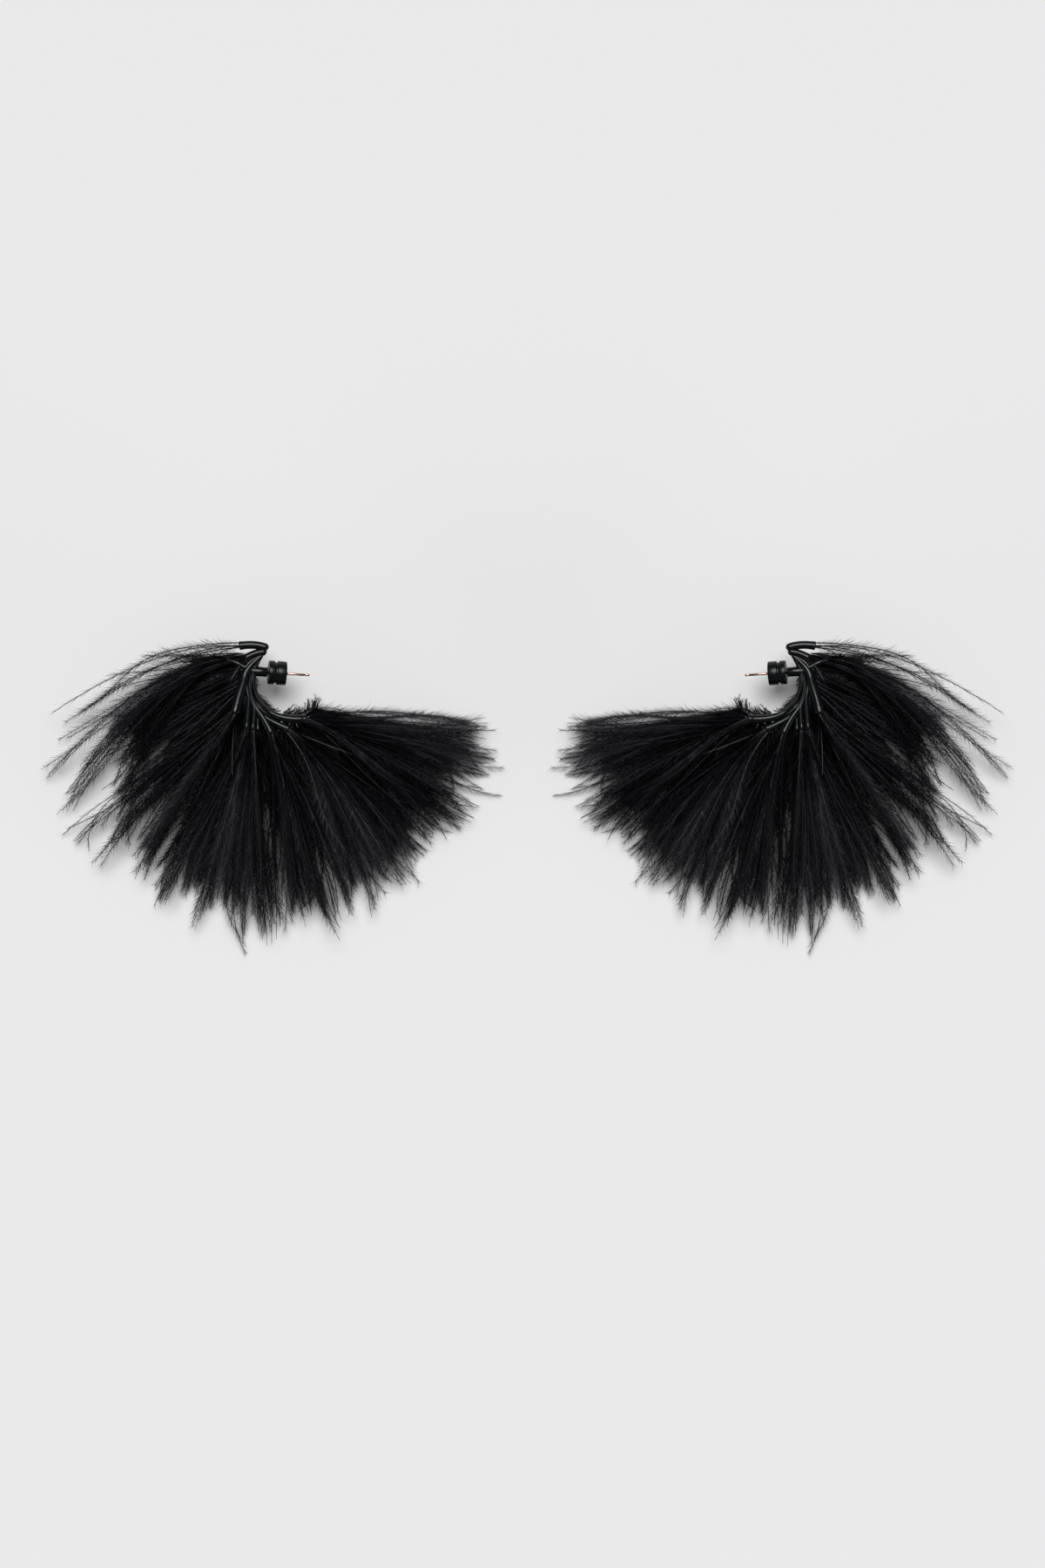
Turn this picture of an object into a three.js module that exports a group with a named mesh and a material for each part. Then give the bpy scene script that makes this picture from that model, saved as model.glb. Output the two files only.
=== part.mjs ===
// A pair of feather-fringed half-hoop earrings lying flat on a table.
// Millimetres, +Z up from the table, +X to the right, the pair centred on X = 0 and Y = 0.
// The left earring is built once about its own hoop centre; the right one is its mirror image.
import * as THREE from 'three';

// ---------------------------------------------------------------- driving dimensions
const GAP = 0.3; // left between pieces that touch or are soldered in the real thing

const HOOP_INNER_R = 9.8; // inside of the half hoop
const SPINE_WIDTH = 1.4; // radial width of the curved spine
const SPINE_DEPTH = 4.6; // covers both rows of sockets
const SPINE_FROM = 160; // degrees, top end of the spine
const SPINE_TO = 243; // degrees, bottom end of the spine
const METAL_Z = 11.5; // middle of the metal above the table

const SOCKET_WALL = 0.28; // of each feather cup
const SOCKET_DEPTH = 1.9; // of the bore that takes the feather roots
const SOCKET_ROW_Z = 1.25; // each row's centre above or below the middle of the metal
const ROOT_CLEARANCE = 0.14; // feather roots inside a bore, all round

const FAN_REACH = 62; // hoop centre to the feather tips, scaled along the rim
const FAN_DEPTH = 6.8; // thickness of one row of feathers
const FAN_SAG_Z = 6.95; // height of the surface between the two rows at the rim
const FANS_APART = 11.52; // clear space between the circles through the pair's inner feather ends

const STEM_LENGTH = 2.7;
const STEM_R = 1.25;
const PIN_R = 0.35;
const PIN_LENGTH = 10.9; // beyond the stem's shoulder
const PIN_CLEARANCE = 0.08; // radial, pin in the insert
const BACK_R = 3.05; // metal shell of the earring back
const BACK_LENGTH = 4.5;
const BACK_WALL = 0.75;
const BACK_GROOVE = { at: 1.55, width: 0.65, depth: 0.4 };
const BACK_LIP = 0.5; // thickness of the end faces that keep the insert in
const INSERT_CLEARANCE = 0.1; // insert inside the shell, all round
const AXIS_DIP = 9.5; // degrees, the pin points down toward the table
const AXIS_YAW = -4; // degrees, seen from above
const AXIS_ANGLE = 169; // degrees, where the stem leaves the spine

// ---------------------------------------------------------------- finishes
function finish(hex, roughness, metalness) {
  return new THREE.MeshStandardMaterial({ color: hex, roughness, metalness });
}
const ENAMEL = finish('#1b2023', 0.18, 0.6); // glossy black plating
const FEATHER = finish('#161618', 0.85, 0);
const WIRE = finish('#c9a79b', 0.25, 1); // rose-gold pin
const SILICONE = finish('#d9dadb', 0.5, 0);

// ---------------------------------------------------------------- helpers
const rad = THREE.MathUtils.degToRad;
const UP = new THREE.Vector3(0, 0, 1);
const SPINE_OUTER_R = HOOP_INNER_R + SPINE_WIDTH;

function heading(degrees) {
  return new THREE.Vector3(Math.cos(rad(degrees)), Math.sin(rad(degrees)), 0);
}

function polar(degrees, radius, z = 0) {
  return heading(degrees).multiplyScalar(radius).setZ(z);
}

/** Level ring of points round a centre: over the top from one side to the other, back underneath. */
function tubeRing(centre, along, radius, count = 10) {
  const side = new THREE.Vector3().crossVectors(UP, along).normalize();
  return Array.from({ length: count }, (_, i) => {
    const a = Math.PI * (1 - (2 * i + 1) / count);
    return centre.clone()
      .addScaledVector(side, Math.cos(a) * radius)
      .addScaledVector(UP, Math.sin(a) * radius);
  });
}

/** Closed solid through rings of equal length; each end is zipped shut, first point to last. */
function loft(name, material, rings) {
  const n = rings[0].length;
  const index = [];
  const quad = (a, b, c, d) => index.push(a, b, c, a, c, d);
  for (let r = 0; r + 1 < rings.length; r++) {
    for (let i = 0; i < n; i++) {
      const j = (i + 1) % n;
      quad(r * n + i, r * n + j, (r + 1) * n + j, (r + 1) * n + i);
    }
  }
  const last = (rings.length - 1) * n;
  for (let i = 0; i + 1 < n / 2; i++) {
    quad(i + 1, i, n - 1 - i, n - 2 - i);
    quad(last + i, last + i + 1, last + n - 2 - i, last + n - 1 - i);
  }
  const points = rings.flat();
  const volume = index.reduce((sum, _, k) => (k % 3 ? sum : sum + points[index[k]].dot(
    new THREE.Vector3().crossVectors(points[index[k + 1]], points[index[k + 2]]))), 0);
  if (volume < 0) index.reverse();
  const geometry = new THREE.BufferGeometry().setFromPoints(points);
  geometry.setIndex(index);
  geometry.computeVertexNormals();
  return named(name, geometry, material);
}

function named(name, geometry, material) {
  const mesh = new THREE.Mesh(geometry, material);
  mesh.name = name;
  return mesh;
}

// ---------------------------------------------------------------- hoop spine
function spine(prefix) {
  const rings = [];
  const steps = 12;
  for (let i = 0; i <= steps; i++) {
    const t = i / steps;
    const angle = SPINE_FROM + (SPINE_TO - SPINE_FROM) * t;
    const full = Math.min(1, 0.62 + 2.4 * Math.min(t, 1 - t)); // slimmer toward both ends
    const half = (SPINE_WIDTH / 2) * full;
    const depth = (SPINE_DEPTH / 2) * full;
    const outline = [[-0.55, 1], [0.55, 1], [1, 0.7], [1, -0.7], [0.55, -1], [-0.55, -1],
      [-1, -0.7], [-1, 0.7]];
    rings.push(outline.map(([u, v]) =>
      polar(angle, HOOP_INNER_R + SPINE_WIDTH / 2 + u * half, METAL_Z + v * depth)));
  }
  return loft(`${prefix}_hoop_spine`, ENAMEL, rings);
}

// ---------------------------------------------------------------- feather sockets
// root and mouth: [degrees round the hoop, millimetres outside the spine]; leave: heading at the root.
const SOCKETS = [
  { name: 'top_a', row: 1, root: [127.5, -1.3], mouth: [148, 4.8], leave: 150, rootR: 0.75, mouthR: 1.0 },
  { name: 'top_b', row: 1, root: [137, -2.0], mouth: [156, 1.45], leave: 186, rootR: 0.62, mouthR: 0.88 },
  { name: 'left_a', row: 1, root: [168, 0.95], mouth: [164.4, 6.1], leave: 140, rootR: 0.6, mouthR: 0.85 },
  { name: 'left_b', row: 1, root: [184, 1.15], mouth: [211, 5.8], leave: 250, rootR: 0.8, mouthR: 1.15 },
  { name: 'low_a', row: 1, root: [203, 0.82], mouth: [227.8, 6.2], leave: 268, rootR: 0.5, mouthR: 0.68 },
  { name: 'low_b', row: 1, root: [216, 0.7], mouth: [232.2, 5.2], leave: 270, rootR: 0.38, mouthR: 0.6 },
  { name: 'low_c', row: 1, root: [228, 0.92], mouth: [248.8, 3.7], leave: 304, rootR: 0.6, mouthR: 1.08 },
  { name: 'right_a', row: 1, root: [246.5, 0.9], mouth: [266, 1.75], leave: 332, rootR: 0.58, mouthR: 0.95 },
  { name: 'right_b', row: 1, root: [251.5, -0.85], mouth: [289.3, -0.2], leave: 345, rootR: 0.7, mouthR: 1.25 },
  { name: 'back_a', row: -1, root: [176, 0.95], mouth: [190, 5.3], leave: 205, rootR: 0.6, mouthR: 0.95 },
  { name: 'back_b', row: -1, root: [224, 0.95], mouth: [236, 4.8], leave: 262, rootR: 0.6, mouthR: 0.95 },
  { name: 'back_c', row: -1, root: [257, -0.9], mouth: [297, -1.75], leave: 350, rootR: 0.6, mouthR: 0.9 },
];

/** Centre line of one socket, with its end point and direction at the mouth. */
function socketPath(socket) {
  // A fat mouth is lifted so that its underside stays level with its row.
  const lift = Math.max(0, socket.mouthR - 1) * socket.row;
  const z = METAL_Z + SOCKET_ROW_Z * socket.row;
  const root = polar(socket.root[0], SPINE_OUTER_R + socket.root[1], z);
  const mouth = polar(socket.mouth[0], SPINE_OUTER_R + socket.mouth[1], z + lift);
  const bend = root.clone().addScaledVector(heading(socket.leave), root.distanceTo(mouth) * 0.45);
  const curve = new THREE.QuadraticBezierCurve3(root, bend, mouth);
  return { curve, mouth, along: curve.getTangent(1).setZ(0).normalize() };
}

function socketMesh(prefix, socket) {
  const { curve, mouth, along } = socketPath(socket);
  const stations = [[0, 0.55], [0.06, 1], [0.3, 1], [0.55, 1], [0.8, 1], [1, 1]];
  const rings = stations.map(([t, k]) => tubeRing(curve.getPoint(t),
    curve.getTangent(t).setZ(0).normalize(),
    k * THREE.MathUtils.lerp(socket.rootR, socket.mouthR, Math.sqrt(t))));
  const bore = socket.mouthR - SOCKET_WALL;
  const depth = Math.min(SOCKET_DEPTH, curve.getLength() * 0.4);
  const floor = mouth.clone().addScaledVector(along, -depth);
  rings.push(tubeRing(mouth, along, bore));
  rings.push(tubeRing(floor, along, Math.min(bore, (socket.rootR + socket.mouthR) / 2 - SOCKET_WALL)));
  return loft(`${prefix}_socket_${socket.name}`, ENAMEL, rings);
}

// ---------------------------------------------------------------- feather bunches
// Lines between neighbouring bunches: start [degrees, millimetres outside the spine], heading at the
// start, rim [degrees, share of the fan's reach], heading at the rim.
const FRONT_LINES = [
  { start: [145.9, 5.8], leave: 169, rim: [186.4, 0.98], arrive: 217 },
  { start: [153.1, 4.7], leave: 175, rim: [192.0, 1.0], arrive: 221 },
  { start: [155.2, 3.9], leave: 180, rim: [198.4, 1.04], arrive: 219 },
  { start: [176.0, 3.6], leave: 206, rim: [213.0, 1.08], arrive: 227 },
  { start: [217.3, 6.3], leave: 248, rim: [236.4, 1.12], arrive: 245 },
  { start: [230.2, 6.1], leave: 265, rim: [251.6, 1.1], arrive: 260 },
  { start: [238.9, 4.7], leave: 273, rim: [265.6, 1.04], arrive: 274 },
  { start: [257.1, 3.2], leave: 303, rim: [284.5, 1.0], arrive: 287 },
  { start: [276.2, 1.7], leave: 329, rim: [309.7, 0.92], arrive: 314 },
  { start: [295.4, -2.1], leave: 364, rim: [349.1, 0.855], arrive: 353 },
];
const BACK_LINES = [
  { start: [181.7, 5.8], leave: 165, rim: [188.6, 0.97], arrive: 209 },
  { start: [214.7, 4.6], leave: 231, rim: [227.1, 1.11], arrive: 234 },
  { start: [270.0, 2.3], leave: 305, rim: [297.0, 0.92], arrive: 309 },
  { start: [305.5, -2.6], leave: 380, rim: [351.0, 0.87], arrive: 364 },
];

function fanLine(line) {
  const start = polar(line.start[0], SPINE_OUTER_R + line.start[1]);
  const rim = polar(line.rim[0], FAN_REACH * line.rim[1]);
  const pull = start.distanceTo(rim) * 0.34;
  return new THREE.CubicBezierCurve3(start,
    start.clone().addScaledVector(heading(line.leave), pull),
    rim.clone().addScaledVector(heading(line.arrive), -pull), rim);
}

/** Underside and top of a row of feathers, u from 0 at the metal to 1 at the rim. */
function rowHeights(row, u) {
  const sag = THREE.MathUtils.smoothstep(u, 0, 0.85);
  const middle = THREE.MathUtils.lerp(METAL_Z, FAN_SAG_Z, sag);
  const depth = THREE.MathUtils.lerp(1.9, FAN_DEPTH, THREE.MathUtils.smoothstep(u, 0, 0.45));
  if (row > 0) return [middle + GAP / 2, middle + GAP / 2 + depth];
  return [Math.max(0, middle - GAP / 2 - depth), middle - GAP / 2];
}

/** One slice of a bunch between two fan lines, thinner at both edges. */
function slice(row, first, second, u) {
  const [a, b] = [first.getPoint(u), second.getPoint(u)];
  const edge = (GAP / 2 + 0.12) / a.distanceTo(b);
  const open = THREE.MathUtils.lerp(0.4, 1, THREE.MathUtils.smoothstep(u, 0, 0.3)) * (1 - 2 * edge);
  const from = Math.atan2(a.y, a.x);
  let turn = Math.atan2(b.y, b.x) - from;
  turn -= Math.round(turn / (2 * Math.PI)) * 2 * Math.PI;
  const [low, high] = rowHeights(row, u);
  const across = (z) => [0, 0.25, 0.5, 0.75, 1].map((k) => {
    const share = 0.5 + (k - 0.5) * open;
    const at = from + turn * share;
    const r = THREE.MathUtils.lerp(Math.hypot(a.x, a.y), Math.hypot(b.x, b.y), share);
    const height = k % 1 ? z : (z + (low + high) / 2) / 2;
    return new THREE.Vector3(Math.cos(at) * r, Math.sin(at) * r, height);
  });
  return [...across(high), ...across(low).reverse()];
}

/** One bunch: its gathered root in the socket, then a curved slab between two fan lines. */
function bunchMesh(prefix, socket, before, after) {
  const { mouth, along } = socketPath(socket);
  const [first, second] = [fanLine(before), fanLine(after)];
  const rootR = socket.mouthR - SOCKET_WALL - ROOT_CLEARANCE;
  const rings = [
    tubeRing(mouth.clone().addScaledVector(along, GAP - SOCKET_DEPTH * 0.8), along, rootR * 0.7),
    tubeRing(mouth.clone().addScaledVector(along, GAP), along, rootR),
  ];
  const clear = (u) => slice(socket.row, first, second, u).every((point) =>
    point.sub(mouth).dot(along) > 2 * GAP);
  let from = 0.01;
  while (!clear(from) && from < 0.5) from += 0.01;
  const steps = 7;
  for (let i = 0; i <= steps; i++) {
    rings.push(slice(socket.row, first, second, from + (1 - from) * (i / steps) ** 1.35));
  }
  return loft(`${prefix}_bunch_${socket.name}`, FEATHER, rings);
}

// ---------------------------------------------------------------- stem, pin and back
/** Turned piece on the pin's axis; profile is [radius, distance along the axis from the spine]. */
function turned(name, material, profile, segments) {
  const points = profile.map(([r, s]) => new THREE.Vector2(r, s));
  const mesh = named(name, new THREE.LatheGeometry(points, segments), material);
  const axis = axisDirection();
  mesh.quaternion.setFromUnitVectors(new THREE.Vector3(0, 1, 0), axis);
  mesh.position.copy(axisStart());
  return mesh;
}

function axisDirection() {
  return heading(AXIS_YAW).multiplyScalar(Math.cos(rad(AXIS_DIP))).setZ(-Math.sin(rad(AXIS_DIP)));
}

function axisStart() {
  // The rim of the stem's end clears the spine's inner face by the gap.
  const rise = Math.sin(rad(AXIS_DIP)) * STEM_R;
  return polar(AXIS_ANGLE, HOOP_INNER_R - GAP - rise, METAL_Z + 0.6);
}

function backPieces(prefix) {
  const shoulder = STEM_LENGTH;
  const pinFrom = shoulder + GAP / 3;
  const tip = shoulder + PIN_LENGTH;
  const face = shoulder + GAP;
  const end = face + BACK_LENGTH;
  const boreR = BACK_R - BACK_WALL;
  const holeR = PIN_R + PIN_CLEARANCE;
  const lipR = holeR + 0.45;
  const grooveFrom = face + BACK_GROOVE.at;
  const grooveTo = grooveFrom + BACK_GROOVE.width;
  const insertR = boreR - INSERT_CLEARANCE;
  const bevel = 0.2;
  const stem = turned(`${prefix}_stem`, ENAMEL, [
    [0, 0], [STEM_R, 0], [STEM_R, shoulder - bevel], [STEM_R - bevel, shoulder], [0, shoulder]], 20);
  const pin = turned(`${prefix}_post_pin`, WIRE, [
    [0, pinFrom], [PIN_R, pinFrom], [PIN_R, tip - 1.3], [PIN_R - 0.08, tip - 1.15],
    [PIN_R - 0.08, tip - 0.95], [PIN_R, tip - 0.8], [PIN_R, tip - 0.2], [0.12, tip], [0, tip]], 12);
  const shell = turned(`${prefix}_back_shell`, ENAMEL, [
    [lipR, face], [BACK_R - bevel, face], [BACK_R, face + bevel],
    [BACK_R, grooveFrom], [BACK_R - BACK_GROOVE.depth, grooveFrom],
    [BACK_R - BACK_GROOVE.depth, grooveTo], [BACK_R, grooveTo],
    [BACK_R, end - bevel], [BACK_R - bevel, end], [lipR, end],
    [lipR, end - BACK_LIP], [boreR, end - BACK_LIP], [boreR, face + BACK_LIP],
    [lipR, face + BACK_LIP], [lipR, face]], 24);
  const insert = turned(`${prefix}_back_insert`, SILICONE, [
    [holeR, face + BACK_LIP + INSERT_CLEARANCE], [insertR, face + BACK_LIP + INSERT_CLEARANCE],
    [insertR, end - BACK_LIP - INSERT_CLEARANCE], [holeR, end - BACK_LIP - INSERT_CLEARANCE],
    [holeR, face + BACK_LIP + INSERT_CLEARANCE]], 12);
  return [stem, pin, shell, insert];
}

// ---------------------------------------------------------------- one earring, and the pair
function earring(prefix) {
  const group = new THREE.Group();
  group.name = `${prefix}_earring`;
  group.add(spine(prefix), ...backPieces(prefix));
  for (const socket of SOCKETS) group.add(socketMesh(prefix, socket));
  for (const [row, lines] of [[1, FRONT_LINES], [-1, BACK_LINES]]) {
    SOCKETS.filter((socket) => socket.row === row).forEach((socket, i) => {
      group.add(bunchMesh(prefix, socket, lines[i], lines[i + 1]));
    });
  }
  return group;
}

const innerReach = FAN_REACH * Math.max(FRONT_LINES.at(-1).rim[1], BACK_LINES.at(-1).rim[1]);
const hoopX = innerReach + FANS_APART / 2; // each hoop centre from the middle of the pair

const pair = new THREE.Group();
pair.name = 'feather_hoop_earrings';
const left = earring('left');
left.position.x = -hoopX;
const right = earring('right');
right.scale.x = -1;
right.position.x = hoopX;
pair.add(left, right);
pair.updateMatrixWorld(true);
const box = new THREE.Box3().setFromObject(pair, true);
pair.position.set(0, -(box.min.y + box.max.y) / 2, -box.min.z);
pair.updateMatrixWorld(true);

export default pair;
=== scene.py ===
"""A pair of feather-fringed half-hoop earrings, laid flat on a pale table.

Each earring is worked out once, in millimetres, about the centre of its own half hoop, and the
right one is the mirror image of the left. The metal is glossy black lacquer, the fringe is dyed
ostrich feather: single barbs with barbules on both sides, gathered in small cups.
"""
import logging
import math
from dataclasses import dataclass, field
from enum import Enum

import bpy
import numpy as np
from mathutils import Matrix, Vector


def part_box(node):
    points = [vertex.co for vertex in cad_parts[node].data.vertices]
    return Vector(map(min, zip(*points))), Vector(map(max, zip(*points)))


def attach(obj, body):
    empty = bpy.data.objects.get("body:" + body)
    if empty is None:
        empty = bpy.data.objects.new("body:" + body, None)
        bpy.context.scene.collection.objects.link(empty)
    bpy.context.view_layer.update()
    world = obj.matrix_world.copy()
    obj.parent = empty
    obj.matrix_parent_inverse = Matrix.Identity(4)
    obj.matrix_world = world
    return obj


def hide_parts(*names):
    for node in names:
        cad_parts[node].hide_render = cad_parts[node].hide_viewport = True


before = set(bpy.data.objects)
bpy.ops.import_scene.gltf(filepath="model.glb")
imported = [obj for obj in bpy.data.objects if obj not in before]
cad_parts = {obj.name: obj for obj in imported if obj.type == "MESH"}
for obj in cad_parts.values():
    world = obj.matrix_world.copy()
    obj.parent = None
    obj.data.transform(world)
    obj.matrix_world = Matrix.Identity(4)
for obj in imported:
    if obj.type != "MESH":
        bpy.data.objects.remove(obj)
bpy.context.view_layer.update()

MM = 0.001
UP = np.array([0.0, 0.0, 1.0])
Array = np.ndarray
log = logging.getLogger("earrings")


class Side(Enum):
    """Which earring of the pair, by where it lies."""

    LEFT = "left"
    RIGHT = "right"


class Row(Enum):
    """Which layer of the fringe: the upper one, toward the eye, or the lower one."""

    FRONT = 1
    BACK = -1


# ------------------------------------------------------------------ small maths

def heading(degrees: float | Array) -> Array:
    """Level unit vectors at the given angles, measured from +X toward +Y."""
    a = np.radians(np.asarray(degrees, float))
    return np.stack([np.cos(a), np.sin(a), np.zeros_like(a)], axis=-1)


def polar(degrees: float | Array, radius: float | Array, z: float | Array = 0.0) -> Array:
    """Points at an angle and a radius round the hoop's centre, at a height."""
    flat = heading(degrees) * np.asarray(radius, float)[..., None]
    flat[..., 2] = z
    return flat


def unit(v: Array) -> Array:
    """Vectors scaled to length one."""
    return v / np.maximum(np.linalg.norm(v, axis=-1, keepdims=True), 1e-9)


def smooth(x: Array | float, low: float, high: float) -> Array:
    """Smooth step: 0 below low, 1 above high, three t squared minus two t cubed between."""
    t = np.clip((np.asarray(x, float) - low) / (high - low), 0.0, 1.0)
    return t * t * (3.0 - 2.0 * t)


def bezier(p0: Array, p1: Array, p2: Array, p3: Array, t: Array) -> Array:
    """Cubic curve through p0 and p3, pulled toward p1 and p2.

    Args:
        p0, p1, p2, p3: control points, (..., 3).
        t: parameters from 0 to 1, (k,).

    Returns:
        Points, (..., k, 3).
    """
    t = t[:, None]
    s = 1.0 - t
    p0, p1, p2, p3 = (np.asarray(p, float)[..., None, :] for p in (p0, p1, p2, p3))
    return s**3 * p0 + 3 * s**2 * t * p1 + 3 * s * t**2 * p2 + t**3 * p3


# ------------------------------------------------------------------ meshes

@dataclass
class Shape:
    """A closed surface in millimetres: points, faces, and a tone for each point."""

    points: Array
    triangles: Array = field(default_factory=lambda: np.zeros((0, 3), int))
    quads: Array = field(default_factory=lambda: np.zeros((0, 4), int))
    tone: Array | None = None

    @staticmethod
    def join(shapes: "list[Shape]") -> "Shape":
        """All the shapes as one, with their faces renumbered."""
        starts = np.cumsum([0] + [len(s.points) for s in shapes[:-1]])
        tones = [np.zeros(len(s.points)) if s.tone is None else s.tone for s in shapes]
        return Shape(
            np.concatenate([s.points for s in shapes]),
            np.concatenate([s.triangles + k for s, k in zip(shapes, starts)]),
            np.concatenate([s.quads + k for s, k in zip(shapes, starts)]),
            np.concatenate(tones),
        )


def grid_tube(rings: Array) -> Shape:
    """A closed skin over rings of points, each end closed with a fan to the ring's middle.

    Args:
        rings: (k, m, 3), each ring turning the same way round the path.

    Returns:
        The closed shape, with its faces pointing outward.
    """
    k, m, _ = rings.shape
    a, b = np.meshgrid(np.arange(k - 1), np.arange(m), indexing="ij")
    nxt = (b + 1) % m
    quads = np.stack([a * m + b, a * m + nxt, (a + 1) * m + nxt, (a + 1) * m + b], -1)
    points = np.concatenate(
        [rings.reshape(-1, 3), rings[0].mean(0)[None], rings[-1].mean(0)[None]])
    i = np.arange(m)
    j = (i + 1) % m
    first = np.stack([j, i, np.full(m, k * m)], -1)
    last = np.stack([(k - 1) * m + i, (k - 1) * m + j, np.full(m, k * m + 1)], -1)
    return outward(Shape(points, np.concatenate([first, last]), quads.reshape(-1, 4)))


def outward(shape: Shape) -> Shape:
    """The shape with its faces turned round if its enclosed volume comes out negative."""
    q = shape.quads
    tri = np.concatenate([shape.triangles, q[:, [0, 1, 2]], q[:, [0, 2, 3]]])
    a, b, c = (shape.points[tri[:, i]] for i in range(3))
    if np.einsum("ij,ij->", a, np.cross(b, c)) < 0:
        shape.triangles = shape.triangles[:, ::-1]
        shape.quads = shape.quads[:, ::-1]
    return shape


def rings_round(centres: Array, along: Array, across: Array, rise: Array, around: int) -> Array:
    """Oval rings square to a level path.

    Each ring is the centre plus cos(a) times the half width sideways plus sin(a) times the
    half height upward, for a going once round.

    Args:
        centres: (k, 3) points of the path.
        along: (k, 3) unit directions of the path.
        across: (k,) half widths.
        rise: (k,) half heights.
        around: points in each ring.

    Returns:
        (k, around, 3) points.
    """
    side = unit(np.cross(UP, along))
    up = np.cross(along, side)
    a = np.linspace(0, 2 * np.pi, around, endpoint=False)
    return (centres[:, None]
            + np.cos(a)[None, :, None] * (across[:, None] * side)[:, None]
            + np.sin(a)[None, :, None] * (rise[:, None] * up)[:, None])


@dataclass(frozen=True)
class Seat:
    """Where an earring's own millimetres lie in the world."""

    side: Side
    x: float
    y: float

    @property
    def prefix(self) -> str:
        """The start of every name on this earring."""
        return self.side.value

    def make(self, name: str, shape: Shape, finish: "bpy.types.Material", smooth_shade: bool,
             body: str, stands_for: tuple[str, ...] = ()) -> bpy.types.Object:
        """Turn a shape into a finished piece of the scene.

        Args:
            name: the piece's name, without the earring's prefix.
            shape: the closed surface, in this earring's millimetres.
            finish: its material.
            smooth_shade: whether the faces are shaded as one curved surface.
            body: the moving body that the piece goes with.
            stands_for: CAD nodes that this piece is shown instead of.

        Returns:
            The new object, at the origin and unturned.
        """
        world = (shape.points + [self.x, self.y, 0.0]) * MM
        triangles, quads = shape.triangles, shape.quads
        if self.side is Side.RIGHT:
            world = world * [-1.0, 1.0, 1.0]
            triangles, quads = triangles[:, ::-1], quads[:, ::-1]
        mesh = bpy.data.meshes.new(f"{self.prefix}_{name}")
        mesh.vertices.add(len(world))
        mesh.vertices.foreach_set("co", world.astype(np.float32).ravel())
        corners = np.concatenate([triangles.ravel(), quads.ravel()]).astype(np.int32)
        counts = np.concatenate([np.full(len(triangles), 3), np.full(len(quads), 4)])
        mesh.loops.add(len(corners))
        mesh.loops.foreach_set("vertex_index", corners)
        mesh.polygons.add(len(counts))
        mesh.polygons.foreach_set(
            "loop_start", np.concatenate([[0], np.cumsum(counts)[:-1]]).astype(np.int32))
        mesh.polygons.foreach_set("use_smooth", np.full(len(counts), smooth_shade))
        mesh.update(calc_edges=True)
        if shape.tone is not None:
            tone = mesh.attributes.new("tone", "FLOAT", "POINT")
            tone.data.foreach_set("value", shape.tone.astype(np.float32))
        mesh.materials.append(finish)
        piece = bpy.data.objects.new(mesh.name, mesh)
        bpy.context.scene.collection.objects.link(piece)
        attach(piece, body)
        if stands_for:
            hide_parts(*stands_for)
        log.info("%s: %d triangles", mesh.name, len(triangles) + 2 * len(quads))
        return piece


# ------------------------------------------------------------------ finishes

def linear(hex_colour: str) -> tuple[float, float, float, float]:
    """A #rrggbb colour as linear light."""
    parts = [int(hex_colour[i:i + 2], 16) / 255 for i in (1, 3, 5)]
    r, g, b = (c / 12.92 if c <= 0.04045 else ((c + 0.055) / 1.055) ** 2.4 for c in parts)
    return r, g, b, 1.0


@dataclass(frozen=True)
class Nodes:
    """Short ways to put nodes into a material."""

    material: bpy.types.Material

    def add(self, kind: str, **values: object) -> bpy.types.Node:
        """A node with its settings, and its unlinked inputs given by name."""
        node = self.material.node_tree.nodes.new(kind)
        for key, value in values.items():
            if key in node.inputs:
                node.inputs[key].default_value = value
            else:
                setattr(node, key, value)
        return node

    def join(self, source: bpy.types.NodeSocket, target: bpy.types.NodeSocket) -> None:
        """A link from an output to an input."""
        self.material.node_tree.links.new(source, target)

    def ramp(self, factor: bpy.types.NodeSocket, low: float, high: float) -> bpy.types.NodeSocket:
        """The factor, 0 to 1, stretched from low to high."""
        node = self.add("ShaderNodeMapRange")
        node.inputs["To Min"].default_value = low
        node.inputs["To Max"].default_value = high
        self.join(factor, node.inputs["Value"])
        return node.outputs["Result"]

    def noise(self, size_mm: float, detail: float = 2.0) -> bpy.types.NodeSocket:
        """Noise on the piece's own coordinates, with features of the given size."""
        place = self.add("ShaderNodeTexCoord")
        node = self.add("ShaderNodeTexNoise", Scale=1.0 / (size_mm * MM), Detail=detail)
        self.join(place.outputs["Object"], node.inputs["Vector"])
        return node.outputs["Fac"]


def new_material(name: str) -> tuple[Nodes, bpy.types.Node]:
    """An empty material with one Principled shader joined to its output."""
    material = bpy.data.materials.new(name)
    material.use_nodes = True
    material.node_tree.nodes.clear()
    nodes = Nodes(material)
    shader = nodes.add("ShaderNodeBsdfPrincipled")
    output = nodes.add("ShaderNodeOutputMaterial")
    nodes.join(shader.outputs["BSDF"], output.inputs["Surface"])
    return nodes, shader


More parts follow.
